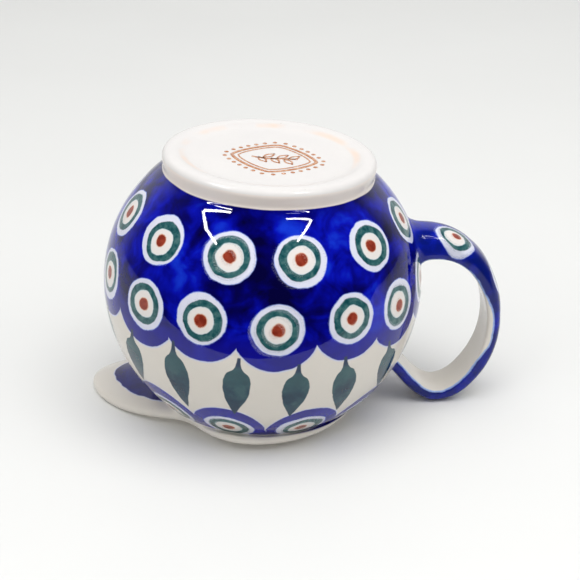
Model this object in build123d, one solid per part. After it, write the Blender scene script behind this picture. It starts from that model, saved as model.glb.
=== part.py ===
from build123d import *
import os
from math import asin, cos, degrees, exp, radians

# A stoneware bubble mug with a pulled pouring lip, standing upright on its foot.
# Millimetres. +Z is up, the origin is the centre of the foot's resting plane,
# the handle points along +X and the pouring lip points roughly along -X.

# Body: a thrown bubble, round above its widest line and a little flatter below it
body_radius = 47.5
body_middle_z = 40.2
lower_half_depth = 45.3
wall = 4.0
neck_z = 74.6
neck_inner_radius = 28.2
neck_blend_z = 70.5

# Foot and base
foot_radius = 31.3
foot_waist_radius = 30.7
foot_height = 5.2
foot_edge_round = 1.2
foot_tread_radius = 27.9
recess_depth = 1.8
base_top_z = 7.6
base_dish = 0.8

# Lip: a flared rim that is pulled out into a broad spout and sits lower by the handle
rim_radius = 33.2
rim_z = 79.5
rim_round = 1.4
crease_radius = 30.4
crease_z = 76.9
crease_flare = 0.25
back_drop = 1.6
back_tuck = 2.1
spout_reach = 52.9
spout_lift = 5.2
spout_half_angle = 29.5
spout_power = 1.8
lift_half_angle = 42.0
pinch_depth = 4.1
pinch_angle = 60.0
pinch_spread = 21.0
spout_turn = 19.0
lip_section_step = 7.5

# Handle: a strap with a crowned outer face, given by the line of its inner face, from the
# foot's end to the rim's end, and by its thickness at shares of that line
strap_width = 14.0
strap_edge_share = 0.62
strap_corner = 0.7
strap_line = [
    (42.0, 31.9), (48.0, 30.6), (54.0, 30.4), (60.0, 32.9), (64.7, 38.2), (67.7, 45.1), (68.7, 52.5),
    (67.6, 60.4), (64.0, 68.0), (59.4, 73.0), (55.0, 74.4), (50.2, 72.3), (44.9, 67.0), (39.5, 61.4),
]
strap_section_count = 21  # evenly spaced along the line
strap_crowns = [
    (0, 10.6), (0.1, 8.6), (0.2, 6.3), (0.3, 5.4), (0.42, 4.7), (0.6, 4.9), (0.75, 4.2), (1, 3.9),
]

# Luting clay: the slip worked round each end of the strap, swelling towards the body
luting_swell = 1.3
luting_fade = 0.25
lower_luting_span = (0.0, 0.085)
upper_luting_span = (1.0, 0.91)


def parameter_angle(z, depth):
    """Angle on the bubble's ellipse at height z, in degrees."""
    return degrees(asin((z - body_middle_z) / depth))


def body_outer_radius(z):
    """Radius of the bubble's outside at height z."""
    depth = body_radius if z > body_middle_z else lower_half_depth
    return body_radius * cos(radians(parameter_angle(z, depth)))


def body_inner_radius(z):
    """Radius of the bubble's inside at height z."""
    depth = (body_radius if z > body_middle_z else lower_half_depth) - wall
    return (body_radius - wall) * cos(radians(parameter_angle(z, depth)))


foot_inner_radius = body_inner_radius(base_top_z)
neck_outer_radius = body_outer_radius(neck_z)


def bubble_line(radius, lower_depth, low_z, high_z):
    """The bubble's profile from low_z to high_z: a flatter arc below its middle, a round one above."""
    centre = (0, body_middle_z)
    low_angle = parameter_angle(low_z, lower_depth)
    lower = EllipticalCenterArc(centre, radius, lower_depth, low_angle, arc_size=-low_angle)
    upper = CenterArc(centre, radius, 0, parameter_angle(high_z, radius))
    return [lower, upper]


def turned(outline):
    """A solid turned about the Z axis from a closed outline of (radius, height)."""
    return revolve(Plane.XZ * make_face(outline), Axis.Z)


def foot_ring():
    """The ring that the mug stands on, with a rounded outer edge and a soft inner one."""
    side_start = foot_radius - foot_edge_round
    round_middle = 0.29 * foot_edge_round
    return turned([
        Line((foot_tread_radius, 0), (side_start, 0)),
        ThreePointArc((side_start, 0), (foot_radius - round_middle, round_middle),
                      (foot_radius, foot_edge_round)),
        Polyline((foot_radius, foot_edge_round), (foot_waist_radius, foot_height),
                 (foot_inner_radius, foot_height), (foot_inner_radius, recess_depth)),
        ThreePointArc((foot_inner_radius, recess_depth),
                      (foot_inner_radius + 0.25, 0.55), (foot_tread_radius, 0)),
    ])


def base_disc():
    """The mug's floor: a shallow recess below and a gently dished surface inside."""
    centre_z = base_top_z - base_dish
    slope = 2 * base_dish / foot_inner_radius
    return turned([
        Polyline((0, centre_z), (0, recess_depth), (foot_inner_radius, recess_depth),
                 (foot_inner_radius, base_top_z)),
        Spline((foot_inner_radius, base_top_z), (0, centre_z), tangents=((-1, -slope), (-1, 0))),
    ])


def bubble_wall():
    """The round body between the foot and the neck, open at the top."""
    outer = bubble_line(body_radius, lower_half_depth, foot_height, neck_z)
    inner = bubble_line(body_radius - wall, lower_half_depth - wall, base_top_z, neck_blend_z)
    blend_start = (body_inner_radius(neck_blend_z), neck_blend_z)
    blend_end = (neck_inner_radius, neck_z)
    slope = (-(neck_blend_z - body_middle_z), body_inner_radius(neck_blend_z))
    blend = Spline(blend_start, blend_end, tangents=(slope, (0, 1)))
    return turned([
        *outer,
        Line((neck_outer_radius, neck_z), blend_end),
        blend,
        *inner,
        Polyline((foot_inner_radius, base_top_z), (foot_inner_radius, foot_height),
                 (body_outer_radius(foot_height), foot_height)),
    ])


def lip_edge(angle):
    """Outermost radius and top height of the lip, at an angle in degrees from the spout's middle."""
    away = abs(angle)
    behind = cos(radians(away)) ** 2 if away > 90 else 0
    pull = exp(-((away / spout_half_angle) ** spout_power))
    pinch = exp(-(((away - pinch_angle) / pinch_spread) ** 2))
    lift = exp(-((away / lift_half_angle) ** 3))
    radius = rim_radius + (spout_reach - rim_radius) * pull - pinch_depth * pinch - back_tuck * behind
    return radius, rim_z + spout_lift * lift - back_drop * behind


def lip_outline(angle):
    """Closed section of the lip, as (radius, height), at an angle from the spout's middle."""
    edge_radius, edge_z = lip_edge(angle)
    nose_middle = Vector(edge_radius - rim_round, edge_z - rim_round)
    outer_foot = Vector(neck_outer_radius, neck_z)
    inner_foot = Vector(neck_inner_radius, neck_z)
    crease = Vector(crease_radius, crease_z)
    if edge_z < rim_z:
        crease += Vector(0.5, -0.9) * ((rim_z - edge_z) / back_drop)
    outward = (nose_middle - (crease + inner_foot) / 2).normalized()
    down = Vector(outward.Y, -outward.X)
    under = nose_middle + down * rim_round
    over = nose_middle - down * rim_round
    upward = Vector(0, 1)
    return [
        Line(outer_foot, crease),
        Spline(crease, under, tangents=(outward + down * crease_flare, outward)),
        ThreePointArc(under, nose_middle + outward * rim_round, over),
        Spline(over, inner_foot, tangents=(-outward, -upward)),
        Line(inner_foot, outer_foot),
    ]


def pouring_lip():
    """The flared rim with its spout, lofted round the neck as a spout half and a handle half."""
    count = round(180 / lip_section_step)
    halves = []
    for start in (-90, 90):
        angles = [start + lip_section_step * i for i in range(count + 1)]
        sections = []
        for angle in angles:
            outline = lip_outline(angle if angle <= 180 else angle - 360)
            face = Plane.XZ * make_face(outline)
            sections.append(face.rotate(Axis.Z, angle))
        halves.append(loft(sections))
    return (halves[0] + halves[1]).rotate(Axis.Z, 180 + spout_turn)


def strap_section(crown, grow=0.0):
    """Cross-section of the strap: flat inside, crowned outside. x is across, y is outwards."""
    half = strap_width / 2 + grow
    low = -grow
    top = crown + grow
    edge = strap_edge_share * crown + grow
    corner = strap_corner
    side = [(half - corner, low), (half, low + corner), (half, edge - corner), (half - corner, edge)]
    mirrored = [(-x, y) for x, y in side]
    return make_face([
        Line(mirrored[0], side[0]),
        ThreePointArc(side[0], (half - 0.29 * corner, low + 0.29 * corner), side[1]),
        Line(side[1], side[2]),
        ThreePointArc(side[2], (half - 0.2 * corner, edge - 0.45 * corner), side[3]),
        ThreePointArc(side[3], (0, top), mirrored[3]),
        ThreePointArc(mirrored[3], (-half + 0.2 * corner, edge - 0.45 * corner), mirrored[2]),
        Line(mirrored[2], mirrored[1]),
        ThreePointArc(mirrored[1], (-half + 0.29 * corner, low + 0.29 * corner), mirrored[0]),
    ])


def strap_path():
    """The line of the strap's inner face."""
    return Spline(*[(x, 0, z) for x, z in strap_line])


def crown_at(share):
    """Thickness of the strap at a share of its line."""
    for (low, low_crown), (high, high_crown) in zip(strap_crowns, strap_crowns[1:]):
        if share <= high:
            return low_crown + (high_crown - low_crown) * (share - low) / (high - low)
    return strap_crowns[-1][1]


def placed_section(path, share, grow=0.0):
    """The strap's cross-section standing across its line at a share of it."""
    plane = Plane(origin=path @ share, x_dir=(0, -1, 0), z_dir=path % share)
    return plane * strap_section(crown_at(share), grow)


def full_strap(path):
    """The strap at full length, with both ends still running into the body's wall."""
    last = strap_section_count - 1
    return loft([placed_section(path, i / last) for i in range(strap_section_count)])


def luting_collar(path, span, strap, bubble):
    """A collar of slip round one end of the strap, thick at the body and fading along the strap."""
    root, tip = span
    swollen = loft([placed_section(path, root, luting_swell), placed_section(path, tip, luting_fade)])
    return swollen - strap - bubble


def solid_bubble():
    """The body's outside as a filled solid, for trimming what meets it."""
    outer = bubble_line(body_radius, lower_half_depth, foot_height, neck_z)
    return turned([
        *outer,
        Polyline((neck_outer_radius, neck_z), (0, neck_z), (0, foot_height),
                 (body_outer_radius(foot_height), foot_height)),
    ])


def main():
    os.makedirs("parts", exist_ok=True)
    bubble = solid_bubble()
    path = strap_path()
    strap = full_strap(path)
    nodes = {
        "foot_ring": foot_ring(),
        "base_disc": base_disc(),
        "bubble_wall": bubble_wall(),
        "pouring_lip": pouring_lip(),
        "handle_strap": strap - bubble,
        "lower_luting": luting_collar(path, lower_luting_span, strap, bubble),
        "upper_luting": luting_collar(path, upper_luting_span, strap, bubble),
    }
    for name, solid in nodes.items():
        print(name, round(solid.volume), solid.bounding_box())
        export_step(solid, f"parts/{name}.step")


main()
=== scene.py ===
import math

import bpy
import numpy as np
from mathutils import Matrix, Vector


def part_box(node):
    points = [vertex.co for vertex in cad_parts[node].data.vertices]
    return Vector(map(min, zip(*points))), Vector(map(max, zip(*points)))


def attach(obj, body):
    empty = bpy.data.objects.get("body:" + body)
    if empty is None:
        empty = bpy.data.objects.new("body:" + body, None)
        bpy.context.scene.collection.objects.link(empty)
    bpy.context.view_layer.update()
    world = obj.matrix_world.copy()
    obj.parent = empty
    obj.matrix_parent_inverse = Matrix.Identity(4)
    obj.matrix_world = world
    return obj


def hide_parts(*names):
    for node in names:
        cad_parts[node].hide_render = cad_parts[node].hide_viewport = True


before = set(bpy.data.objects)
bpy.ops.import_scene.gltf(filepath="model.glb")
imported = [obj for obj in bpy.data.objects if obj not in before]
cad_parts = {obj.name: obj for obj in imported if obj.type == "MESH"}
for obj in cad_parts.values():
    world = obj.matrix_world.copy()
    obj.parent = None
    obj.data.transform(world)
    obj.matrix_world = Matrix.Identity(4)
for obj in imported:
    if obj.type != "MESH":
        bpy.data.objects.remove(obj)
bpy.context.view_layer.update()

MM = 0.001
FULL_TURN = 2 * math.pi

# The mug, in millimetres and in the CAD frame: +Z up, the foot on z = 0, the handle along +X.
BODY_RADIUS = 47.5
BODY_MIDDLE = 40.2
LOWER_DEPTH = 45.3
WALL = 4.0
NECK_Z = 74.6
NECK_INNER = 28.2
NECK_BLEND_Z = 70.5
RIM_RADIUS = 33.2
RIM_Z = 79.5
RIM_ROUND = 1.4
CREASE = (30.4, 76.9)
BACK_DROP = 1.6
BACK_TUCK = 2.1
SPOUT_REACH = 52.9
SPOUT_LIFT = 5.2
SPOUT_TURN = 199.0
SPOUT_HALF_ANGLE = 29.5
SPOUT_POWER = 1.8
LIFT_HALF_ANGLE = 42
PINCH_DEPTH = 4.1
PINCH_ANGLE = 60
PINCH_SPREAD = 21
FOOT_OUTLINE = [
    (0.4, 1.6), (12.0, 1.6), (20.5, 1.55), (23.6, 1.35), (25.6, 0.7), (27.2, 0.1), (28.9, 0.0),
    (30.2, 0.25), (31.0, 1.0), (31.3, 2.0), (31.1, 3.2), (30.85, 4.4), (30.78, 5.25), (31.0, 5.8),
    (31.62, 6.4),
]
# Columns of faces round the shell, and the shell's material slots
COLUMNS = 320
WHITE, PAINTED, LIP = 0, 1, 2

# The strap handle: the line of its inner face, and its thickness at shares of that line
STRAP_HALF = 7.0
STRAP_CORNER = 1.1
STRAP_EDGE_SHARE = 0.46
STRAP_LINE = [
    (42.0, 31.9), (48.0, 30.6), (54.0, 30.4), (60.0, 32.9), (64.7, 38.2), (67.7, 45.1), (68.7, 52.5),
    (67.6, 60.4), (64.0, 68.0), (59.4, 73.0), (55.0, 74.4), (50.2, 72.3), (44.9, 67.0), (39.5, 61.4),
]
STRAP_CROWNS = [
    (0, 10.6), (0.1, 8.6), (0.2, 6.3), (0.3, 5.4), (0.42, 4.7), (0.6, 4.9), (0.75, 4.2), (1, 3.9),
]
# The soft roots: their radius at the foot's end and at the rim's end, the stretch that settles
# onto the body, and how deep the hidden ends go
STRAP_ROOTS = (2.3, 1.5)
ROOT_STRETCH = 4.0
ROOT_DEPTH = 1.2

# The painting: eyes in three rows round the body, at (azimuth, height), set by hand and so uneven
EYES = [
    (14.8, 15.6), (47.2, 16.1), (80.8, 16.8), (108.8, 16.9), (139, 17.3), (169.9, 16.9), (199, 16.0),
    (228, 16.5), (258, 16.2), (287, 16.6), (316, 16.0), (346, 16.3),
    (14, 33.2), (38.8, 34.3), (62.1, 33.3), (89.2, 34.9), (115.2, 34.1), (139.4, 35.2), (165, 34.0),
    (191, 34.2), (217, 33.8), (242, 33.5), (268, 34.2), (294, 33.9), (320, 33.5), (346, 34.0),
    (5, 72.8), (38, 73.0), (71.5, 72.9), (107.5, 73.2), (140, 72.8), (172, 73.0), (204, 73.1),
    (236, 72.8), (268, 73.0), (301, 72.9), (333, 73.1),
]
# Radius of the blue lobe round an eye, and of its white, green, inner white and red
LOBE_RADIUS = 12.3
EYE_REACHES = (7.35, 5.98, 3.8, 1.75)
# Leaves, as the azimuth and height of the stem's end and of the tip
LEAVES = [
    ((63.9, 44.6), (58.5, 66.4)), ((81.0, 45.0), (80.9, 65.4)), ((101.2, 43.5), (103.4, 65.2)),
    ((125.3, 42.3), (124.2, 66.6)), ((145.2, 44.8), (148.8, 64.6)), ((43.1, 44.4), (36.5, 63.6)),
    ((22.0, 44.8), (19.0, 65.0)), ((167.0, 44.0), (170.0, 65.5)), ((188.5, 45.0), (189.5, 65.0)),
    ((209.5, 44.2), (207.5, 66.0)), ((231.0, 44.8), (233.5, 65.2)), ((252.0, 43.6), (251.0, 65.8)),
    ((273.0, 44.6), (275.0, 64.8)), ((294.5, 44.0), (293.0, 66.2)), ((316.0, 45.0), (318.0, 65.0)),
    ((337.5, 44.4), (336.0, 65.6)), ((359.0, 44.8), (1.5, 65.2)),
]
LEAF_HALF_WIDTH = 3.95
# Share of a leaf's half-width at shares of its length
LEAF_OUTLINE = [(0.0, 0.12), (0.10, 0.18), (0.17, 0.34), (0.27, 0.84), (0.42, 1.0), (0.60, 0.86),
                (0.80, 0.46), (1.0, 0.0)]
# Eyes on the handle, as the distance along its crown and the shift round to the +Y side
HANDLE_EYES = [(13.6, 3.7), (33.5, 0.4), (53.0, -0.5), (71.0, 0.4), (89.0, -0.3)]
# Seed of the first of them, and a distance that is past all of an eye's rings
HANDLE_SEED = 60.0
NO_EYE = 99.0
# Heights where the painting changes: white foot to blue, blue to white, the top row of eyes, the
# blue of the crease
FOOT_LINE = 5.75
BLUE_TOP = 35.5
TOP_ROW_Z = 58.0
CREASE_LINE = 74.4
# Blue under the spout: its distance in from the lip's edge, and how far round it goes
THROAT_INSET = 7.0
THROAT_HALF_WIDTH = 27.0
# Ring on the underside where the glaze is thin
BLUSH_RADIUS = 25.4
# Thick (dark) and thin (bright) dabs of cobalt: azimuth, height, reach, change of tone
COBALT_DABS = [
    (97, 17, 11, -0.22), (87, 26, 10, -0.18), (106, 27, 9, -0.12), (66, 25, 10, -0.09),
    (131, 31, 8, -0.04), (72, 9, 8, -0.05), (150, 24, 10, 0.02), (26, 24, 11, 0.05),
    (126, 24, 7, 0.06), (86, 9, 4, 0.05), (100, 9, 8, -0.10), (46, 26, 9, -0.02), (155, 12, 7, 0.05),
]

# The stamp on the underside: its middle, its turn in degrees, and the two faces of its ink
STAMP_MIDDLE = (1.2, 1.0)
STAMP_TURN = 12.0
STAMP_FACES = (1.66, 1.50)
LOZENGE_HALF = (12.4, 11.4)
LOZENGE_POWER = 1.35
BEAD_RING_GAP = 2.4
BEAD_COUNT = 28
BEAD_RADIUS = 0.4
SPRIG_LEAVES = ((-4.6, 1), (-3.2, -1), (-0.8, 1), (0.8, -1), (3.0, 1), (4.2, -1))
SPRIG_LEAF_ANGLE = 52


# ---------------------------------------------------------------- shapes

def body_point(azimuth, z):
    """A point on the body's outside, from its azimuth in degrees and its height."""
    depth = BODY_RADIUS if z > BODY_MIDDLE else LOWER_DEPTH
    radius = BODY_RADIUS * math.sqrt(1 - ((z - BODY_MIDDLE) / depth) ** 2)
    a = math.radians(azimuth)
    return np.array([radius * math.cos(a), radius * math.sin(a), z])


def spout_angle(azimuth):
    """Angle from the spout's middle, from -180 to 180 degrees."""
    return (azimuth - SPOUT_TURN + 180) % 360 - 180


def body_normal(point):
    """Outward unit normal of the body's outside at a point on it."""
    depth = BODY_RADIUS if point[2] > BODY_MIDDLE else LOWER_DEPTH
    n = np.array([point[0] / BODY_RADIUS ** 2, point[1] / BODY_RADIUS ** 2,
                  (point[2] - BODY_MIDDLE) / depth ** 2])
    return n / np.linalg.norm(n)


def bubble_rows(radius, depth_below, low_z, high_z, step):
    """Profile points (radius, z) of the bubble from low_z to high_z, about step apart."""
    rows = []
    t0 = math.asin((low_z - BODY_MIDDLE) / depth_below)
    t1 = math.asin((high_z - BODY_MIDDLE) / radius)
    count = round((t1 - t0) * radius / step)
    for i in range(count + 1):
        t = t0 + (t1 - t0) * i / count
        depth = radius if t > 0 else depth_below
        rows.append((radius * math.cos(t), BODY_MIDDLE + depth * math.sin(t)))
    return rows


def cut_corners(points, rounds):
    """Chaikin's corner cutting: the points of a smooth line that keeps both ends."""
    for _ in range(rounds):
        cut = [points[0]]
        for p, q in zip(points, points[1:]):
            cut.append(tuple(0.75 * a + 0.25 * b for a, b in zip(p, q)))
            cut.append(tuple(0.25 * a + 0.75 * b for a, b in zip(p, q)))
        cut.append(points[-1])
        points = cut
    return points


def bezier(a, b, c, d, shares):
    """Points of a cubic curve with ends a and d and handles b and c."""
    out = []
    for t in shares:
        s = 1 - t
        out.append(s ** 3 * a + 3 * s * s * t * b + 3 * s * t * t * c + t ** 3 * d)
    return out


def lip_edge(angle):
    """Outermost radius and top of the lip, at an angle in degrees from the spout's middle."""
    away = abs(angle)
    behind = math.cos(math.radians(away)) ** 2 if away > 90 else 0
    pull = math.exp(-((away / SPOUT_HALF_ANGLE) ** SPOUT_POWER))
    pinch = math.exp(-(((away - PINCH_ANGLE) / PINCH_SPREAD) ** 2))
    lift = math.exp(-((away / LIFT_HALF_ANGLE) ** 3))
    radius = (RIM_RADIUS + (SPOUT_REACH - RIM_RADIUS) * pull - PINCH_DEPTH * pinch
              - BACK_TUCK * behind)
    return radius, RIM_Z + SPOUT_LIFT * lift - BACK_DROP * behind


def lip_rows(angle):
    """Profile of the lip at an angle from the spout's middle, in three parts: the neck up to the
    crease, the crease and the flare up to the middle of the edge, and the inner face."""
    edge_radius, edge_z = lip_edge(angle)
    nose = np.array([edge_radius - RIM_ROUND, edge_z - RIM_ROUND])
    neck = np.array([BODY_RADIUS * math.sqrt(1 - ((NECK_Z - BODY_MIDDLE) / BODY_RADIUS) ** 2), NECK_Z])
    inner = np.array([NECK_INNER, NECK_Z])
    crease = np.array(CREASE)
    if edge_z < RIM_Z:
        crease = crease + np.array([0.5, -0.9]) * ((RIM_Z - edge_z) / BACK_DROP)
    outward = nose - (crease + inner) / 2
    outward = outward / np.linalg.norm(outward)
    down = np.array([outward[1], -outward[0]])
    under = nose + down * RIM_ROUND
    over = nose - down * RIM_ROUND
    reach = np.linalg.norm(under - crease)
    start = outward + down * 0.25
    flare = bezier(crease, crease + start * reach * 0.35, under - outward * reach * 0.35, under,
                   np.linspace(0.1, 1, 14))
    corner = crease + (neck - crease) * 0.25
    bend = bezier(corner, crease + (neck - crease) * 0.05, crease + (flare[0] - crease) * 0.2, flare[0],
                  np.linspace(0, 0.85, 6))
    edge = []
    for t in np.linspace(-90, 90, 13)[1:-1]:
        a = math.radians(t)
        edge.append(nose + outward * RIM_ROUND * math.cos(a) - down * RIM_ROUND * math.sin(a))
    drop = np.linalg.norm(over - inner)
    inside = bezier(over, over - outward * drop * 0.4, inner + np.array([0, drop * 0.4]), inner,
                    np.linspace(0, 1, 16))
    neck_rows = [neck + (corner - neck) * t for t in (0.33, 0.66)]
    half = len(edge) // 2
    return neck_rows + bend[:4], bend[4:] + flare + edge[:half], edge[half:] + inside


def add_object(name, data):
    """An object in the scene that shows a mesh, light or camera."""
    obj = bpy.data.objects.new(name, data)
    bpy.context.scene.collection.objects.link(obj)
    return obj


def mesh_object(name, vertices, faces, unit=MM, smooth=True):
    """A mesh object from vertices given in a unit of so many metres."""
    mesh = bpy.data.meshes.new(name)
    mesh.from_pydata((np.asarray(vertices, float) * unit).tolist(), [], faces)
    mesh.polygons.foreach_set("use_smooth", [smooth] * len(mesh.polygons))
    mesh.update()
    return add_object(name, mesh)


def corner_attribute(obj, name, values):
    """Stores one vector for each face corner."""
    layer = obj.data.attributes.new(name, "FLOAT_VECTOR", "CORNER")
    layer.data.foreach_set("vector", np.asarray(values, np.float32).ravel())


def read(items, name, width, kind=np.float32):
    """One property of all of a mesh's vertices, faces or corners, as an array."""
    values = np.zeros(len(items) * width, kind)
    items.foreach_get(name, values)
    return values.reshape(-1, width)


def corner_table(obj):
    """Each face corner's vertex and face, and each vertex's place in millimetres."""
    mesh = obj.data
    corner_vertex = read(mesh.loops, "vertex_index", 1, np.int32)[:, 0]
    corners = read(mesh.polygons, "loop_total", 1, np.int32)[:, 0]
    corner_face = np.repeat(np.arange(len(corners)), corners)
    return corner_vertex, corner_face, read(mesh.vertices, "co", 3) / MM


# Faces that are compared with the stamps at a time
BLOCK = 20000


def local_places(obj, stamps):
    """For each face corner, its place along the axes of the stamp nearest to its face, and the seed.

    A stamp has an anchor that faces are near to, an origin, two axes and a seed."""
    corner_vertex, corner_face, places = corner_table(obj)
    middles = read(obj.data.polygons, "center", 3) / MM
    anchors = np.array([stamp["anchor"] for stamp in stamps])
    nearest = np.zeros(len(middles), np.int32)
    for start in range(0, len(middles), BLOCK):
        block = middles[start:start + BLOCK]
        gap = np.linalg.norm(block[:, None, :] - anchors[None, :, :], axis=2)
        nearest[start:start + BLOCK] = gap.argmin(1)
    origins, along, across, seeds = (np.array([stamp[key] for stamp in stamps])[nearest[corner_face]]
                                     for key in ("origin", "along", "across", "seed"))
    offset = places[corner_vertex] - origins
    return np.stack([(offset * along).sum(1), (offset * across).sum(1), seeds], 1)


def eye_stamp(azimuth, z, seed):
    """An eye stamped on the body: its flat axes touch the surface at its middle."""
    middle = body_point(azimuth, z)
    normal = body_normal(middle)
    a = math.radians(azimuth)
    around = np.array([-math.sin(a), math.cos(a), 0])
    return {"anchor": middle, "origin": middle, "along": around, "across": np.cross(normal, around),
            "seed": seed}


def leaf_stamp(stem, tip, seed):
    """A painted leaf: the first axis runs from 0 at the stem's end to 1 at the tip."""
    start = body_point(*stem)
    end = body_point(*tip)
    length = np.linalg.norm(end - start)
    along = (end - start) / length
    middle = (start + end) / 2
    across = np.cross(body_normal(body_point((stem[0] + tip[0]) / 2, (stem[1] + tip[1]) / 2)), along)
    return {"anchor": middle, "origin": start, "along": along / length, "across": across, "seed": seed}


def mug_shell():
    """The foot, body, lip and inside as one closed, glazed skin, and each face's material slot."""
    foot = cut_corners(FOOT_OUTLINE, 2)
    outside = bubble_rows(BODY_RADIUS, LOWER_DEPTH, 6.7, NECK_Z, 0.85)
    inside = bubble_rows(BODY_RADIUS - WALL, LOWER_DEPTH - WALL, 9.6, NECK_BLEND_Z, 1.6)
    shoulder = np.array(inside[-1])
    slope = np.array([-(NECK_BLEND_Z - BODY_MIDDLE), shoulder[0]])
    slope = slope / np.linalg.norm(slope)
    neck = np.array([NECK_INNER, NECK_Z])
    throat = bezier(neck, neck - np.array([0, 1.6]), shoulder + slope * 1.6, shoulder,
                    np.linspace(0.15, 1, 6))
    floor = cut_corners([inside[0], (27.2, 7.8), (24.0, 7.3), (12.0, 6.95), (0.4, 6.8)], 2)
    below_lip = foot + outside
    above_floor = [*throat, *inside[::-1][1:], *floor[1:]]
    vertices = []
    for i in range(COLUMNS):
        azimuth = 360 * i / COLUMNS
        lip_parts = lip_rows(spout_angle(azimuth))
        a = math.radians(azimuth)
        for radius, z in [*below_lip, *sum(lip_parts, []), *above_floor]:
            swell = 1 + 0.0016 * math.sin(2 * a + 0.6 + z * 0.02) + 0.0012 * math.sin(3 * a + z * 0.05)
            vertices.append((radius * swell * math.cos(a), radius * swell * math.sin(a), z))
    rows = len(vertices) // COLUMNS
    faces = []
    for i in range(COLUMNS):
        j = (i + 1) % COLUMNS
        for k in range(rows - 1):
            faces.append((i * rows + k, i * rows + k + 1, j * rows + k + 1, j * rows + k))
    faces.append([i * rows for i in range(COLUMNS)])
    faces.append([i * rows + rows - 1 for i in range(COLUMNS)][::-1])
    obj = mesh_object("mug_shell", vertices, faces)
    # white under the foot and round its edge, then painted to the crease, then the lip's outside
    foot_white = len(foot) * 3 // 5
    crease_row = len(below_lip) + len(lip_parts[0])
    edge_row = crease_row + len(lip_parts[1])
    column = [WHITE] * foot_white + [PAINTED] * (crease_row - foot_white)
    column += [LIP] * (edge_row - crease_row) + [WHITE] * (rows - 1 - edge_row)
    kinds = column * COLUMNS + [WHITE, WHITE]
    return obj, kinds


def lip_inset(obj):
    """For each corner: how far inside the lip's edge it is, how far round from the spout, its height."""
    corner_vertex, _, places = corner_table(obj)
    angle = spout_angle(np.degrees(np.arctan2(places[:, 1], places[:, 0])))
    radius = np.hypot(places[:, 0], places[:, 1])
    inset = np.array([lip_edge(a)[0] for a in angle]) - radius
    return np.stack([inset, np.radians(angle) * radius, places[:, 2]], 1)[corner_vertex]


def strap_line_at(shares):
    """Points and directions on the line of the strap's inner face, a natural cubic spline."""
    points = np.array(STRAP_LINE)
    chord = np.concatenate([[0], np.cumsum(np.linalg.norm(np.diff(points, axis=0), axis=1))])
    n = len(points)
    system = np.zeros((n, n))
    right = np.zeros((n, 2))
    system[0, 0] = system[-1, -1] = 1
    h = np.diff(chord)
    for i in range(1, n - 1):
        system[i, i - 1:i + 2] = h[i - 1], 2 * (h[i - 1] + h[i]), h[i]
        right[i] = 6 * ((points[i + 1] - points[i]) / h[i] - (points[i] - points[i - 1]) / h[i - 1])
    bend = np.linalg.solve(system, right)
    where = np.asarray(shares) * chord[-1]
    k = np.clip(np.searchsorted(chord, where) - 1, 0, n - 2)
    a = ((chord[k + 1] - where) / h[k])[:, None]
    b = 1 - a
    hk = h[k][:, None]
    place = (a * points[k] + b * points[k + 1]
             + ((a ** 3 - a) * bend[k] + (b ** 3 - b) * bend[k + 1]) * hk ** 2 / 6)
    along = ((points[k + 1] - points[k]) / hk
             + (-(3 * a ** 2 - 1) * bend[k] + (3 * b ** 2 - 1) * bend[k + 1]) * hk / 6)
    return place, along / np.linalg.norm(along, axis=1, keepdims=True)


def strap_section(crown):
    """Closed outline of the strap's section: (across, outwards) points, counted from the inner face."""
    edge = STRAP_EDGE_SHARE * crown
    inner_half = STRAP_HALF - STRAP_CORNER
    inner = [(t, 0.0) for t in np.linspace(-inner_half, inner_half, 13)]
    side = [(inner_half + STRAP_CORNER * math.sin(a), STRAP_CORNER - STRAP_CORNER * math.cos(a))
            for a in np.radians(np.linspace(0, 90, 5)[1:])]
    side += [(STRAP_HALF, edge * t + STRAP_CORNER * (1 - t)) for t in (0.33, 0.66)]
    outer = []
    for a in np.radians(np.linspace(0, 180, 27)):
        across = STRAP_HALF * math.copysign(abs(math.cos(a)) ** 0.72, math.cos(a))
        outer.append((across, edge + (crown - edge) * abs(math.sin(a)) ** 0.9))
    return inner + side + outer + [(-x, y) for x, y in reversed(side)]


def bubble_gap(points):
    """Signed distance from the body's outside, and the direction away from it."""
    depth = np.where(points[..., 2] > BODY_MIDDLE, BODY_RADIUS, LOWER_DEPTH)
    scale = np.stack([np.full(depth.shape, BODY_RADIUS), np.full(depth.shape, BODY_RADIUS), depth], -1)
    from_middle = points - np.array([0, 0, BODY_MIDDLE])
    size = np.linalg.norm(from_middle / scale, axis=-1)
    slope = from_middle / scale ** 2 / size[..., None]
    steep = np.linalg.norm(slope, axis=-1)
    return (size - 1) / steep, slope / steep[..., None]


def strap_grid(shares):
    """Places on the strap's surface, from a share of its line for each row and outline point."""
    flat = shares.ravel()
    place, along = strap_line_at(flat)
    crown = np.interp(flat, *zip(*STRAP_CROWNS))
    # the outline grows evenly with the crown's height, so two of them give every other one
    thin, thick = (np.array(strap_section(c)) for c in (1.0, 2.0))
    index = np.tile(np.arange(shares.shape[1]), shares.shape[0])
    outline = (thin + thin - thick)[index] + (thick - thin)[index] * crown[:, None]
    across, outwards = outline.T
    # outwards is to the right of the line's direction in the XZ plane
    points = np.stack([place[:, 0] + along[:, 1] * outwards, -across,
                       place[:, 1] - along[:, 0] * outwards], 1)
    return points.reshape(*shares.shape, 3)


def strap_ends(count):
    """Shares of the line where each of the outline's points comes out of the body and goes back in."""
    dense = np.linspace(0, 1, 400)
    gap, _ = bubble_gap(strap_grid(np.repeat(dense[:, None], count, 1)))
    step = dense[1]
    first = np.zeros(count)
    last = np.ones(count)
    for j in range(count):
        outside = np.where(gap[:, j] > 0)[0]
        a, b = outside[0], outside[-1]
        first[j] = dense[a] - step * gap[a, j] / (gap[a, j] - gap[a - 1, j])
        last[j] = dense[b] + step * gap[b, j] / (gap[b, j] - gap[b + 1, j])
    return first, last


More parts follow.
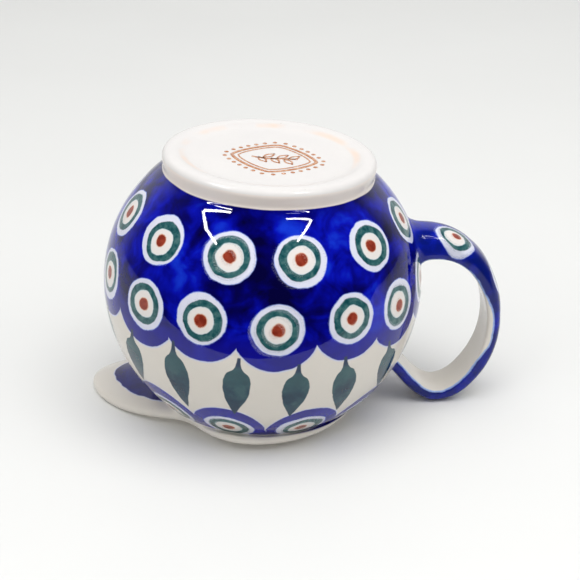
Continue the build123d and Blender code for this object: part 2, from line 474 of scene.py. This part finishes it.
def strap_surface():
    """Rows of points on the strap with its soft roots, and how far each is along from the foot's end."""
    first, last = strap_ends(len(strap_section(1.0)))
    even = np.linspace(0, 1, 150)
    closer_at_ends = (even - 0.3 * np.sin(FULL_TURN * even) / FULL_TURN)[:, None]
    points = strap_grid(first * (1 - closer_at_ends) + last * closer_at_ends)
    gap, lift = bubble_gap(points)
    travelled = np.cumsum(np.linalg.norm(np.diff(points, axis=0, prepend=points[:1]), axis=2), axis=0)
    left = travelled[-1:] - travelled
    # the roots spread away from the strap's own middle line, along the body
    away = points - points.mean(1, keepdims=True)
    away = away - lift * (away * lift).sum(2, keepdims=True)
    away = away / np.linalg.norm(away, axis=2, keepdims=True)
    spread = np.zeros(travelled.shape)
    for distance, radius in zip((travelled, left), STRAP_ROOTS):
        near = np.clip(1 - distance / (radius * 1.6), 0, 1)
        spread += radius * (1 - np.sqrt(1 - near ** 2))
    points = points + away * spread[..., None] * 0.8
    gap_after, lift = bubble_gap(points)
    settle = np.clip(1 - np.minimum(travelled, left) / ROOT_STRETCH, 0, 1)
    points = points - lift * ((gap_after - gap) * settle)[..., None]
    # one more row at each end is hidden in the body's wall
    hidden = [(points[row] - lift[row] * ROOT_DEPTH + away[row] * 0.3)[None] for row in (0, -1)]
    points = np.concatenate([hidden[0], points, hidden[1]])
    travelled = np.concatenate([travelled[:1], travelled, travelled[-1:]])
    return points, travelled


def strap_table(travelled):
    """For each point of the strap: how far along the crown, past the inner face and round it is."""
    outline = np.array(strap_section(5.0))
    step = np.linalg.norm(np.diff(np.vstack([outline, outline[:1]]), axis=0), axis=1)
    run = np.concatenate([[0], np.cumsum(step)[:-1]])
    perimeter = step.sum()
    inner_half = STRAP_HALF - STRAP_CORNER
    past = np.abs((run - inner_half + perimeter / 2) % perimeter - perimeter / 2) - inner_half
    crown = int(outline[:, 1].argmax())
    around = (run - run[crown] + perimeter / 2) % perimeter - perimeter / 2
    columns = np.broadcast_arrays(travelled[:, crown:crown + 1], past, around)
    return np.stack(columns, 2).reshape(-1, 3)


def handle_strap():
    """The strap from the body near the foot, round to the body near the rim, with soft glazed roots."""
    points, travelled = strap_surface()
    rows, count = travelled.shape
    faces = []
    for i in range(rows - 1):
        for j in range(count):
            k = (j + 1) % count
            faces.append((i * count + j, i * count + k, (i + 1) * count + k, (i + 1) * count + j))
    faces.append(list(range(count))[::-1])
    faces.append([(rows - 1) * count + j for j in range(count)])
    obj = mesh_object("handle_strap_glazed", points.reshape(-1, 3), faces)
    corner_vertex, corner_face, _ = corner_table(obj)
    run, past, around = strap_table(travelled)[corner_vertex].T
    corner_attribute(obj, "strap", np.stack([run, past, around], 1))
    # each face belongs to the eye nearest along the strap, and the inner face has none
    eyes = np.array(HANDLE_EYES)
    face_run = np.bincount(corner_face, run) / np.bincount(corner_face)
    number = np.abs(face_run[:, None] - eyes[None, :, 0]).argmin(1)[corner_face]
    along = np.where(past < 0.2, NO_EYE, run - eyes[number, 0])
    across = (around - eyes[number, 1]) * 1.3
    corner_attribute(obj, "eye", np.stack([along, across, HANDLE_SEED + number], 1))
    return obj


def add_ribbon(vertices, faces, line, width, closed=False):
    """Adds a thin printed line of an even width, as a closed strip between the ink's two faces."""
    low, high = STAMP_FACES
    points = [np.array(p, float) for p in line]
    count = len(points)
    first = len(vertices)
    for i, p in enumerate(points):
        before = points[i - 1] if i or closed else p
        after = points[(i + 1) % count] if i < count - 1 or closed else p
        along = (after - before) / np.linalg.norm(after - before)
        side = np.array([-along[1], along[0]]) * width / 2
        for x, y, z in ((*(p - side), low), (*(p + side), low), (*(p + side), high), (*(p - side), high)):
            vertices.append((x, y, z))
    for i in range(count if closed else count - 1):
        a = first + 4 * i
        b = first + 4 * ((i + 1) % count)
        for k in range(4):
            m = (k + 1) % 4
            faces.append((a + k, a + m, b + m, b + k))
    if not closed:
        faces.append((first + 3, first + 2, first + 1, first))
        last = first + 4 * (count - 1)
        faces.append((last, last + 1, last + 2, last + 3))


def lozenge_point(a, grow=0.0, size=1.0):
    """A point on the stamp's soft lozenge, at an angle round it."""
    reach = (abs(math.cos(a)) ** LOZENGE_POWER + abs(math.sin(a)) ** LOZENGE_POWER) ** (-1 / LOZENGE_POWER)
    wide, tall = ((half + grow) * size * reach for half in LOZENGE_HALF)
    return wide * math.cos(a), tall * math.sin(a)


def sprig_leaf(at, side):
    """Outline of one of the sprig's leaves, at a place on its stem."""
    tilt = math.radians(SPRIG_LEAF_ANGLE * side)
    line = []
    for i in range(24):
        a = FULL_TURN * i / 24
        along = 2.3 * (1 - math.cos(a))
        across = 0.95 * math.sin(a) * math.sin(math.pi * (1 - math.cos(a)) / 2 * 0.94 + 0.1)
        line.append((at + along * math.cos(tilt) - across * math.sin(tilt),
                     along * math.sin(tilt) + across * math.cos(tilt)))
    return line


def base_stamp():
    """A potter's stamp of no real workshop: a lozenge with a sprig in it and beads round it."""
    vertices = []
    faces = []
    turn = math.radians(STAMP_TURN)

    def draw(line, width, closed=False):
        turned = [(STAMP_MIDDLE[0] + x * math.cos(turn) - y * math.sin(turn),
                   STAMP_MIDDLE[1] + x * math.sin(turn) + y * math.cos(turn)) for x, y in line]
        add_ribbon(vertices, faces, turned, width, closed)

    for size, width in ((1.0, 1.05), (0.85, 0.5)):
        draw([lozenge_point(FULL_TURN * i / 80, size=size) for i in range(80)], width, closed=True)
    draw([(-6.6 + 13.4 * t, 0.8 * math.sin(5 * t)) for t in np.linspace(0, 1, 20)], 0.75)
    for at, side in SPRIG_LEAVES:
        draw(sprig_leaf(at, side), 0.55, closed=True)
    for i in range(BEAD_COUNT):
        x, y = lozenge_point(FULL_TURN * (i + 0.5) / BEAD_COUNT, grow=BEAD_RING_GAP)
        draw([(x + BEAD_RADIUS * math.cos(b), y + BEAD_RADIUS * math.sin(b))
              for b in np.linspace(0, FULL_TURN, 11)[:-1]], 0.55, closed=True)
    return mesh_object("base_stamp", vertices, faces)


# ---------------------------------------------------------------- materials

HALF = (0.5, 0.5, 0.5)


class Paint:
    """Builds one material's nodes. Each method adds a node and returns its output socket."""

    def __init__(self, name):
        self.material = bpy.data.materials.new(name)
        self.material.use_nodes = True
        self.tree = self.material.node_tree
        self.shader = self.tree.nodes["Principled BSDF"]
        self.output = self.tree.nodes["Material Output"]

    def node(self, kind, inputs=(), **settings):
        """Adds a node, feeds its inputs and makes its settings."""
        made = self.tree.nodes.new(kind)
        for key, value in settings.items():
            setattr(made, key, value)
        for key, value in dict(inputs).items():
            self.feed(made.inputs[key], value)
        return made

    def surface(self, inputs):
        """Feeds the shader's own sockets."""
        for key, value in inputs.items():
            self.feed(self.shader.inputs[key], value)

    def feed(self, socket, value):
        if isinstance(value, bpy.types.NodeSocket):
            self.tree.links.new(value, socket)
        else:
            socket.default_value = value

    def math(self, operation, a, b=0.0, c=0.0):
        return self.node("ShaderNodeMath", {0: a, 1: b, 2: c}, operation=operation).outputs[0]

    def times(self, a, b):
        return self.math("MULTIPLY", a, b)

    def vector(self, operation, a, b=(0, 0, 0), scale=1.0):
        made = self.node("ShaderNodeVectorMath", {0: a, 1: b, 3: scale}, operation=operation)
        return made.outputs["Value" if operation in ("LENGTH", "DOT_PRODUCT", "DISTANCE") else "Vector"]

    def attribute(self, name):
        return self.node("ShaderNodeAttribute", attribute_name=name).outputs["Vector"]

    def split(self, vector):
        return self.node("ShaderNodeSeparateXYZ", {0: vector}).outputs

    def join(self, x, y, z=0.0):
        return self.node("ShaderNodeCombineXYZ", {0: x, 1: y, 2: z}).outputs[0]

    def place(self):
        """The surface point in millimetres, in the mug's own frame."""
        coordinates = self.node("ShaderNodeTexCoord").outputs["Object"]
        return self.vector("SCALE", coordinates, scale=1000.0)

    def noise(self, vector, scale, detail=2.0, rough=0.5, twist=0.0):
        """A cloudy value and a cloudy colour, the two outputs of a noise."""
        made = self.node("ShaderNodeTexNoise", {"Vector": vector, "Scale": scale, "Detail": detail,
                                                "Roughness": rough, "Distortion": twist})
        return made.outputs

    def drift(self, vector, scale, detail):
        """A cloudy vector about zero."""
        return self.vector("SUBTRACT", self.noise(vector, scale, detail)[1], HALF)

    def below(self, value, edge, soft):
        """1 where value is below edge, 0 above, over a soft width."""
        low = self.offset(edge, -soft / 2)
        high = self.offset(edge, soft / 2)
        made = self.node("ShaderNodeMapRange", {"Value": value, "From Min": low, "From Max": high,
                                                "To Min": 1.0, "To Max": 0.0},
                         interpolation_type="SMOOTHSTEP")
        return made.outputs[0]

    def above(self, value, edge, soft):
        """0 where value is below edge, 1 above, over a soft width."""
        return self.math("SUBTRACT", 1.0, self.below(value, edge, soft))

    def offset(self, value, amount):
        if isinstance(value, bpy.types.NodeSocket):
            return self.math("ADD", value, amount)
        return value + amount

    def ramp(self, value, stops):
        """A colour for a value, between stops of (value, colour)."""
        made = self.node("ShaderNodeValToRGB", {0: value})
        elements = made.color_ramp.elements
        while len(elements) > 1:
            elements.remove(elements[-1])
        for i, (position, color) in enumerate(stops):
            element = elements[0] if i == 0 else elements.new(position)
            element.position = position
            element.color = (*color, 1)
        return made.outputs[0]

    def mix(self, factor, under, over):
        """The colour under where factor is 0, and the colour over where it is 1."""
        made = self.node("ShaderNodeMix", {"Factor": factor}, data_type="RGBA")
        self.feed(made.inputs[6], (*under, 1) if isinstance(under, tuple) else under)
        self.feed(made.inputs[7], (*over, 1) if isinstance(over, tuple) else over)
        return made.outputs[2]


# Linear colours of the glazes and stains
RING_WHITE = (0.57, 0.59, 0.71)
INNER_WHITE = (0.70, 0.66, 0.64)
RING_HALO = (0.24, 0.32, 0.78)
FRINGE = (0.46, 0.52, 0.80)
LOBE_BLUE = (0.007, 0.006, 0.24)
# Blue for just above the foot: glaze pooled in the crease, made darker still as painted shade of that
# crease
POOLED_BLUE_AND_SHADE = (0.001, 0.001, 0.05)
THROAT_BLUE = (0.003, 0.0015, 0.060)
STRAP_BLUE = (0.003, 0.020, 0.26)
STRAP_FRINGE = (0.34, 0.47, 0.80)
FOOT_BLUSH = (0.80, 0.62, 0.50)
EDGE_BLUSH = (0.78, 0.56, 0.42)


def white_ground(paint, place):
    """White glaze, cool on the foot and warmer higher up, with faint clouds and specks of iron."""
    cloud = paint.noise(place, 0.06, 3)[0]
    fine = paint.noise(place, 0.5, 3)[0]
    foot = paint.below(paint.split(place)[2], 6.5, 2.0)
    cool = paint.mix(cloud, (0.66, 0.64, 0.64), (0.73, 0.705, 0.69))
    color = paint.mix(foot, paint.mix(cloud, (0.63, 0.59, 0.53), (0.69, 0.65, 0.595)), cool)
    color = paint.mix(paint.times(fine, 0.25), color, (0.60, 0.58, 0.55))
    speck = paint.noise(place, 1.3, 1)[0]
    specks = paint.below(speck, 0.19, 0.02)
    return paint.mix(paint.times(specks, 0.5), color, (0.25, 0.18, 0.12))


def cobalt(paint, place, dabs=()):
    """Brushed cobalt: deep where the stain is thick, bright where a stroke is thin."""
    x, y, z = paint.split(place)
    flattened = paint.join(x, y, paint.times(z, 1.4))
    clouds = paint.noise(flattened, 0.038, 1, 0.5, 0.6)[0]
    strokes = paint.noise(flattened, 0.10, 3, 0.5, 1.3)[0]
    upright = paint.join(paint.times(x, 2.2), paint.times(y, 2.2), z)
    streaks = paint.noise(upright, 0.12, 2)[0]
    depth = paint.math("ADD", paint.times(clouds, 0.42), paint.times(strokes, 0.38))
    depth = paint.math("MULTIPLY_ADD", streaks, 0.20, depth)
    for azimuth, height, reach, change in dabs:
        away = paint.vector("DISTANCE", place, tuple(body_point(azimuth, height)))
        near = paint.below(away, reach * 0.62, reach * 1.2)
        depth = paint.math("MULTIPLY_ADD", near, change, depth)
    return paint.ramp(depth, [(0.36, (0.0010, 0.0005, 0.032)), (0.44, (0.0010, 0.0006, 0.10)),
                              (0.50, (0.0012, 0.0020, 0.22)), (0.56, (0.0020, 0.0050, 0.37)),
                              (0.67, (0.0060, 0.0330, 0.52))])


def wobble(paint, place, vector, coarse, fine):
    """A local place pushed about a little, as a hand-held stamp or brush leaves its edge."""
    slow = paint.vector("SCALE", paint.drift(place, 0.22, 1), scale=coarse)
    quick = paint.vector("SCALE", paint.drift(place, 1.1, 2), scale=fine)
    return paint.vector("ADD", paint.vector("ADD", vector, slow), quick)


def flat_length(paint, vector):
    """Length of a vector's first two parts."""
    x, y, _ = paint.split(vector)
    return paint.vector("LENGTH", paint.join(x, y, 0.0))


def paint_eye(paint, place, under, eye, size=1.0):
    """Lays a peacock eye over a colour: white ring, green ring, white, and a red middle."""
    seed = paint.split(eye)[2]
    shift = paint.node("ShaderNodeTexWhiteNoise", {"W": seed}, noise_dimensions="1D").outputs["Color"]
    shift = paint.vector("SUBTRACT", shift, HALF)
    sx, sy, sz = paint.split(shift)
    flat = wobble(paint, place, eye, 0.95, 0.34)
    rings = []
    for reach, dx, dy in zip(EYE_REACHES, (sx, sy, sz, sx), (sy, sz, sx, sz)):
        moved = paint.vector("ADD", flat, paint.vector("SCALE", paint.join(dx, dy), scale=0.9))
        rings.append((flat_length(paint, moved), reach * size))
    (white_run, white_edge), (green_run, green_edge), (inner_run, inner_edge), (red_run, red_edge) = rings
    streak = paint.noise(place, 0.55, 3, 0.6)[0]
    lavender = paint.mix(streak, RING_WHITE, (0.68, 0.68, 0.78))
    green = paint.ramp(streak, [(0.34, (0.006, 0.055, 0.066)), (0.50, (0.026, 0.100, 0.108)),
                                (0.68, (0.070, 0.155, 0.155))])
    red = paint.ramp(streak, [(0.35, (0.18, 0.020, 0.010)), (0.6, (0.28, 0.042, 0.022))])
    color = paint.mix(paint.below(white_run, white_edge + 0.16, 0.35), under, RING_HALO)
    color = paint.mix(paint.below(white_run, white_edge, 0.24), color, lavender)
    color = paint.mix(paint.below(green_run, green_edge, 0.34), color, green)
    color = paint.mix(paint.below(inner_run, inner_edge + 0.18 * size, 0.30), color, (0.52, 0.64, 0.68))
    color = paint.mix(paint.below(inner_run, inner_edge, 0.30), color, INNER_WHITE)
    color = paint.mix(paint.below(red_run, red_edge + 0.22 * size, 0.35), color, (0.62, 0.33, 0.22))
    return paint.mix(paint.below(red_run, red_edge, 0.25), color, red)


def paint_leaf(paint, place, under, leaf):
    """Lays a painted leaf over a colour: a thin stem, a broad shoulder and a long point."""
    bent = wobble(paint, place, paint.join(0.0, paint.split(leaf)[1]), 0.7, 0.22)
    share, _, seed = paint.split(leaf)
    side = paint.math("ABSOLUTE", paint.split(bent)[1])
    curve = paint.node("ShaderNodeFloatCurve", {"Value": share})
    line = curve.mapping.curves[0]
    line.points[0].location = LEAF_OUTLINE[0]
    line.points[-1].location = LEAF_OUTLINE[-1]
    for share_along, half_width in LEAF_OUTLINE[1:-1]:
        line.points.new(share_along, half_width)
    curve.mapping.update()
    half = paint.times(curve.outputs[0], LEAF_HALF_WIDTH)
    inside = paint.below(side, half, 0.3)
    on_leaf = paint.times(paint.above(share, 0.0, 0.02), paint.below(share, 1.0, 0.02))
    inside = paint.times(inside, on_leaf)
    tone = paint.noise(paint.vector("ADD", place, paint.join(seed, seed, 0.0)), 0.20, 3, 0.55)[0]
    body = paint.ramp(tone, [(0.34, (0.003, 0.026, 0.055)), (0.50, (0.007, 0.043, 0.072)),
                             (0.66, (0.024, 0.078, 0.095))])
    stem = paint.mix(paint.below(share, 0.17, 0.12), body, (0.018, 0.040, 0.085))
    shoulder = paint.times(paint.below(share, 0.42, 0.3), 0.45)
    color = paint.mix(shoulder, stem, (0.05, 0.13, 0.13))
    color = paint.mix(paint.below(share, 0.13, 0.08), color, (0.016, 0.036, 0.080))
    return paint.mix(inside, under, color)


GLAZE_IOR = 1.43


def finish_glaze(paint, place, color, roughness=(0.012, 0.04)):
    """Wires a colour to a glossy glaze with a faintly wavy surface."""
    slow = paint.noise(place, 0.09, 2)[0]
    grain = paint.noise(place, 0.9, 2)[0]
    height = paint.math("ADD", paint.times(slow, 0.5), paint.times(grain, 0.02))
    bump = paint.node("ShaderNodeBump", {"Strength": 0.25, "Distance": 0.0005, "Height": height})
    smear = paint.noise(place, 0.3, 3)[0]
    smooth, rough = roughness
    spread = paint.node("ShaderNodeMapRange", {"Value": smear, "To Min": smooth, "To Max": rough})
    paint.surface({"Base Color": color, "Normal": bump.outputs[0], "Roughness": spread.outputs[0],
                   "IOR": GLAZE_IOR})
    return paint.material


def painted_glaze():
    """The body: cobalt with two rows of eyes, a scalloped edge, leaves, and lobes under the rim."""
    paint = Paint("painted_glaze")
    place = paint.place()
    eye = paint.attribute("eye")
    leaf = paint.attribute("leaf")
    z = paint.split(place)[2]
    quick = paint.split(paint.drift(place, 0.45, 2))[0]
    slow = paint.split(paint.drift(place, 0.05, 1))[0]
    top_row = paint.above(z, TOP_ROW_Z, 1.0)
    across, up, _ = paint.split(wobble(paint, place, eye, 0.5, 0.22))
    narrow = paint.times(across, paint.math("MULTIPLY_ADD", top_row, 0.16, 1.0))
    lobe = paint.vector("LENGTH", paint.join(narrow, up))
    in_lobe = paint.below(lobe, LOBE_RADIUS, 0.3)
    near_lobe = paint.below(lobe, LOBE_RADIUS + 0.35, 0.6)
    low = paint.below(paint.math("ADD", z, quick), BLUE_TOP, 0.4)
    high = paint.above(z, CREASE_LINE, 0.4)
    foot = paint.below(paint.math("ADD", z, paint.times(slow, 0.9)), FOOT_LINE, 0.3)
    past_foot = paint.math("SUBTRACT", 1.0, foot)
    blue = paint.math("MAXIMUM", paint.math("MAXIMUM", in_lobe, low), high)
    blue = paint.times(blue, past_foot)
    ground = white_ground(paint, place)
    fringe = paint.times(past_foot, near_lobe)
    ground = paint.mix(paint.times(fringe, 0.75), ground, FRINGE)
    stain = cobalt(paint, place, COBALT_DABS)
    thin = paint.above(z, BLUE_TOP + 3.0, 7.0)
    stain = paint.mix(paint.times(thin, 0.75), stain, LOBE_BLUE)
    # darker just above the foot: partly glaze pooled in the crease, partly painted shade of the crease
    pool_and_shade = paint.below(z, 7.6, 3.6)
    stain = paint.mix(paint.times(pool_and_shade, 0.5), stain, POOLED_BLUE_AND_SHADE)
    color = paint.mix(blue, ground, stain)
    color = paint_leaf(paint, place, color, leaf)
    color = paint_eye(paint, place, color, eye)
    blush = paint.times(foot, paint.times(paint.noise(place, 0.05, 2)[0], 0.55))
    color = paint.mix(blush, color, FOOT_BLUSH)
    return finish_glaze(paint, place, color)


def lip_glaze():
    """The flared rim: white, with cobalt in the crease and on the throat under the spout."""
    paint = Paint("lip_glaze")
    place = paint.place()
    inset, round_lip, _ = paint.split(wobble(paint, place, paint.attribute("lip"), 1.0, 0.25))
    aside = paint.math("ABSOLUTE", round_lip)
    past_middle = paint.math("MAXIMUM", paint.math("SUBTRACT", aside, 9.0), 0.0)
    edge = paint.math("MULTIPLY_ADD", past_middle, -0.20, THROAT_INSET)
    throat = paint.times(paint.above(inset, edge, 0.35), paint.below(aside, THROAT_HALF_WIDTH, 0.8))
    crease = paint.below(paint.split(paint.attribute("lip"))[2], 76.5, 0.5)
    blue = paint.math("MAXIMUM", throat, crease)
    ground = white_ground(paint, place)
    fringe = paint.above(inset, paint.math("SUBTRACT", edge, 0.3), 0.5)
    fringe = paint.times(fringe, paint.below(aside, THROAT_HALF_WIDTH + 0.4, 0.8))
    ground = paint.mix(paint.times(fringe, 0.7), ground, FRINGE)
    stain = paint.mix(0.75, cobalt(paint, place), THROAT_BLUE)
    color = paint.mix(blue, ground, stain)
    return finish_glaze(paint, place, color)


def white_glaze():
    """The underside, the foot and the inside: white, with a peach blush where the glaze thins."""
    paint = Paint("white_glaze")
    place = paint.place()
    x, y, z = paint.split(place)
    radius = paint.vector("LENGTH", paint.join(x, y))
    from_edge = paint.math("ABSOLUTE", paint.math("SUBTRACT", radius, BLUSH_RADIUS))
    thin = paint.times(paint.below(from_edge, 0.9, 1.4), paint.below(z, 2.5, 1.0))
    patchy = paint.ramp(paint.noise(place, 0.07, 3)[0], [(0.42, (0.0,) * 3), (0.62, (0.55,) * 3)])
    blush = paint.times(thin, patchy)
    color = paint.mix(blush, white_ground(paint, place), EDGE_BLUSH)
    return finish_glaze(paint, place, color, (0.14, 0.26))


def strap_glaze():
    """The handle: cobalt with eyes on its crowned face, white on its inner face and up to its edges."""
    paint = Paint("strap_glaze")
    place = paint.place()
    strap = paint.attribute("strap")
    run = paint.split(strap)[0]
    past = paint.split(wobble(paint, place, strap, 1.0, 0.35))[1]
    middle = paint.times(paint.below(run, 57.0, 12.0), paint.above(run, 38.0, 16.0))
    edge = paint.math("MULTIPLY_ADD", middle, 1.8, 0.5)
    white = paint.below(past, edge, 0.3)
    fringe = paint.below(past, paint.math("ADD", edge, 0.55), 0.5)
    stain = paint.mix(0.35, cobalt(paint, place), STRAP_BLUE)
    color = paint.mix(paint.times(fringe, 0.8), stain, STRAP_FRINGE)
    color = paint.mix(white, color, white_ground(paint, place))
    color = paint_eye(paint, place, color, paint.attribute("eye"), 0.92)
    return finish_glaze(paint, place, color, (0.08, 0.16))


def stamp_ink():
    """Sepia ink under the glaze, uneven as a rubber stamp leaves it."""
    paint = Paint("stamp_ink")
    place = paint.place()
    tone = paint.noise(place, 1.1, 3)[0]
    color = paint.ramp(tone, [(0.35, (0.40, 0.14, 0.05)), (0.5, (0.48, 0.20, 0.085)),
                              (0.68, (0.62, 0.38, 0.24))])
    return finish_glaze(paint, place, color)


# ---------------------------------------------------------------- the object

shell, kinds = mug_shell()
# in the order WHITE, PAINTED, LIP
for maker in (white_glaze, painted_glaze, lip_glaze):
    shell.data.materials.append(maker())
shell.data.polygons.foreach_set("material_index", kinds)
for motif, make_stamp, spots in (("eye", eye_stamp, EYES), ("leaf", leaf_stamp, LEAVES)):
    stamps = [make_stamp(*spot, float(seed)) for seed, spot in enumerate(spots)]
    corner_attribute(shell, motif, local_places(shell, stamps))
corner_attribute(shell, "lip", lip_inset(shell))
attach(shell, "root")
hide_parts("foot_ring", "base_disc", "bubble_wall", "pouring_lip")

handle = handle_strap()
handle.data.materials.append(strap_glaze())
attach(handle, "root")
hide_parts("handle_strap", "lower_luting", "upper_luting")

stamp = base_stamp()
stamp.data.materials.append(stamp_ink())
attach(stamp, "root")


# ---------------------------------------------------------------- the studio

# The mug stands on its rim: the floor touches the spout's tip and the top of the handle. Metres.
HANDLE_TOP_X = 0.055
SPOUT_TO_HANDLE = 0.105
FLOOR_REACH = 2.0
FLOOR_SIDES = 120
# The floor ends just past the picture's lower edge, so that little of it shows in the glaze
FLOOR_FRONT = 0.105
ROOM_MIDDLE = Vector((0, 0, 0.04))
CAMERA_PLACE = Vector((-0.0382, 0.43662, -0.15839))
CAMERA_AIM = Vector((0.0082, 0.0023, 0.0430))
CAMERA_LENS = 99.31

lip_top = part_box("pouring_lip")[1].z
handle_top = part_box("handle_strap")[1].z
floor_slope = (lip_top - handle_top) / SPOUT_TO_HANDLE
floor_up = Vector((-floor_slope, 0, -1)).normalized()
floor_origin = Vector((0, 0, handle_top + HANDLE_TOP_X * floor_slope))

# The camera's axes: right is level with the floor, and toward is level and points at the camera
forward = (CAMERA_AIM - CAMERA_PLACE).normalized()
right = forward.cross(floor_up).normalized()
toward = right.cross(floor_up)
if toward.dot(forward) > 0:
    toward = -toward


RAYS = ("camera", "diffuse", "glossy", "transmission", "shadow")


def stage_object(obj, *rays):
    """Lets a studio object be seen only by the kinds of ray that are named."""
    for kind in RAYS:
        setattr(obj, "visible_" + kind, kind in rays)


def studio_place(azimuth, elevation, distance):
    """A point seen from the mug at an azimuth, to the right of the camera, and above the floor."""
    a = math.radians(azimuth)
    e = math.radians(elevation)
    flat = toward * math.cos(a) + right * math.sin(a)
    return ROOM_MIDDLE + (flat * math.cos(e) + floor_up * math.sin(e)) * distance


def one_sided_floor(name, up, origin, front, opening, glow):
    """A pale floor that is clear from its far side, with an opening inside the mug's footprint."""
    sideways = (right - up * right.dot(up)).normalized()
    ahead = up.cross(sideways).normalized()
    if ahead.dot(toward) < 0:
        ahead = -ahead
    vertices = []
    for i in range(FLOOR_SIDES):
        a = FULL_TURN * i / FLOOR_SIDES
        out = Vector((math.cos(a), math.sin(a), 0))
        out.z = -(out.x * up.x + out.y * up.y) / up.z
        x = out.dot(sideways)
        y = out.dot(ahead)
        depth = front if y > 0 else FLOOR_REACH
        far = min(FLOOR_REACH / max(abs(x), 1e-6), depth / max(abs(y), 1e-6))
        vertices += [origin + out * opening(math.degrees(a)), origin + out * far]
    # pairs of an inner and an outer vertex, joined all the way round
    faces = []
    for i in range(0, len(vertices), 2):
        j = (i + 2) % len(vertices)
        faces.append((i, i + 1, j + 1, j))
    obj = mesh_object(name, vertices, faces, unit=1, smooth=False)
    if obj.data.polygons[0].normal.dot(up) < 0:
        obj.data.flip_normals()
    paint = Paint(name)
    cloud = paint.noise(paint.place(), 0.01, 3)[0]
    pale = paint.mix(cloud, (0.725, 0.725, 0.715), (0.76, 0.76, 0.75))
    paint.surface({"Base Color": pale, "Roughness": 0.6, "Emission Color": (1, 1, 0.985, 1),
                   "Emission Strength": glow})
    clear = paint.node("ShaderNodeBsdfTransparent")
    side = paint.node("ShaderNodeNewGeometry").outputs["Backfacing"]
    both = paint.node("ShaderNodeMixShader", {0: side, 1: paint.shader.outputs[0], 2: clear.outputs[0]})
    paint.tree.links.new(both.outputs[0], paint.output.inputs[0])
    obj.data.materials.append(paint.material)
    return obj


def lip_opening(azimuth):
    """Reach of the opening under the lip, in metres: wide under the spout, small elsewhere."""
    angle = spout_angle(azimuth)
    inset = 5.0 + 4.0 * min(abs(angle) / 50, 1)
    return (lip_edge(angle)[0] - inset) * MM


floor = one_sided_floor("floor", floor_up, floor_origin, FLOOR_FRONT, lip_opening, 0.0)
stage_object(floor, *RAYS)
# the floor that the foot stands on shows only to a camera above it
shelf = one_sided_floor("upright_floor", Vector((0, 0, 1)), Vector(), FLOOR_REACH, lambda _: 0.001, 0.25)
stage_object(shelf, "camera")


def glow_material(name, strength_of):
    """A plain emission, whose strength is what strength_of gives for the material."""
    paint = Paint(name)
    paint.tree.nodes.remove(paint.shader)
    light = paint.node("ShaderNodeEmission", {"Color": (1, 1, 1, 1), "Strength": strength_of(paint)})
    paint.tree.links.new(light.outputs[0], paint.output.inputs[0])
    return paint.material


# The room's brightness at places from 0, behind the camera, to 1, opposite it
ROOM_TONES = [(0.0, 0.012), (0.30, 0.02), (0.52, 0.06), (0.70, 0.14), (0.86, 0.80)]


def dome_strength(paint):
    """Dark round the camera, pale behind and beside the mug."""
    direction = paint.vector("NORMALIZE", paint.place())
    ahead = paint.vector("DOT_PRODUCT", direction, tuple(toward))
    tall = paint.vector("DOT_PRODUCT", direction, tuple(floor_up))
    pale = paint.ramp(paint.math("MULTIPLY_ADD", ahead, -0.5, 0.5),
                      [(at, (tone,) * 3) for at, tone in ROOM_TONES])
    over = paint.below(tall, 0.80, 0.35)
    return paint.times(pale, paint.math("MULTIPLY_ADD", over, 0.8, 0.2))


bpy.ops.mesh.primitive_uv_sphere_add(segments=48, ring_count=24, radius=3.0)
dome = bpy.context.object
dome.name = "reflected_room"
dome.data.materials.append(glow_material("room_glow", dome_strength))
stage_object(dome, "glossy")


def light_strip(name, path, width, strength):
    """A thin bright strip along directions from the mug, seen only in the glaze."""
    points = [studio_place(a, e, 1.0) for a, e in path]
    vertices = []
    faces = []
    for p, q in zip(points, points[1:]):
        outward = ((p + q) / 2 - ROOM_MIDDLE).normalized()
        side = (q - p).normalized().cross(outward) * (width / 2)
        k = len(vertices)
        vertices += [p - side, q - side, q + side, p + side]
        faces.append((k, k + 1, k + 2, k + 3))
    obj = mesh_object(name, vertices, faces, unit=1, smooth=False)
    obj.data.materials.append(glow_material(name, lambda paint: strength))
    stage_object(obj, "glossy")


STRIP_GLOW = 52.0
light_strip("left_strip", [(-44, 46), (-64, 51), (-87, 56.2), (-58, 68.5)], 0.030, STRIP_GLOW)
light_strip("right_strip", [(38, 50), (54, 54.3), (69, 57.6), (42, 67.5)], 0.022, STRIP_GLOW)


def soft_light(name, azimuth, elevation, distance, size, power):
    """A large soft area light that doesn't show in the glaze."""
    data = bpy.data.lights.new(name, "AREA")
    data.shape = "DISK"
    data.size = size
    data.energy = power
    obj = add_object(name, data)
    obj.location = studio_place(azimuth, elevation, distance)
    aim = ROOM_MIDDLE - obj.location
    obj.rotation_mode = "QUATERNION"
    obj.rotation_quaternion = aim.to_track_quat("-Z", "Y")
    obj.visible_glossy = False


# azimuth and elevation in degrees, distance and size in metres, power in watts
soft_light("overhead", 20, 75, 1.0, 0.9, 6.2)
soft_light("front_left", -50, 42, 1.1, 0.8, 2.4)
soft_light("front_right", 62, 45, 1.1, 0.8, 2.4)
soft_light("inside_fill", 0, -90, 0.6, 0.2, 3.0)

world = bpy.data.worlds.new("studio_air")
world.use_nodes = True
background = world.node_tree.nodes["Background"]
background.inputs["Color"].default_value = (0.93, 0.935, 0.92, 1)
background.inputs["Strength"].default_value = 0.68
bpy.context.scene.world = world

camera_data = bpy.data.cameras.new("camera")
camera_data.lens = CAMERA_LENS
camera_data.sensor_width = 36.0
camera_data.clip_start = 0.01
camera = add_object("camera", camera_data)
camera_axes = Matrix((right, right.cross(forward), -forward)).transposed()
camera.matrix_world = Matrix.Translation(CAMERA_PLACE) @ camera_axes.to_4x4()
bpy.context.scene.camera = camera
bpy.context.scene.view_settings.view_transform = "Standard"
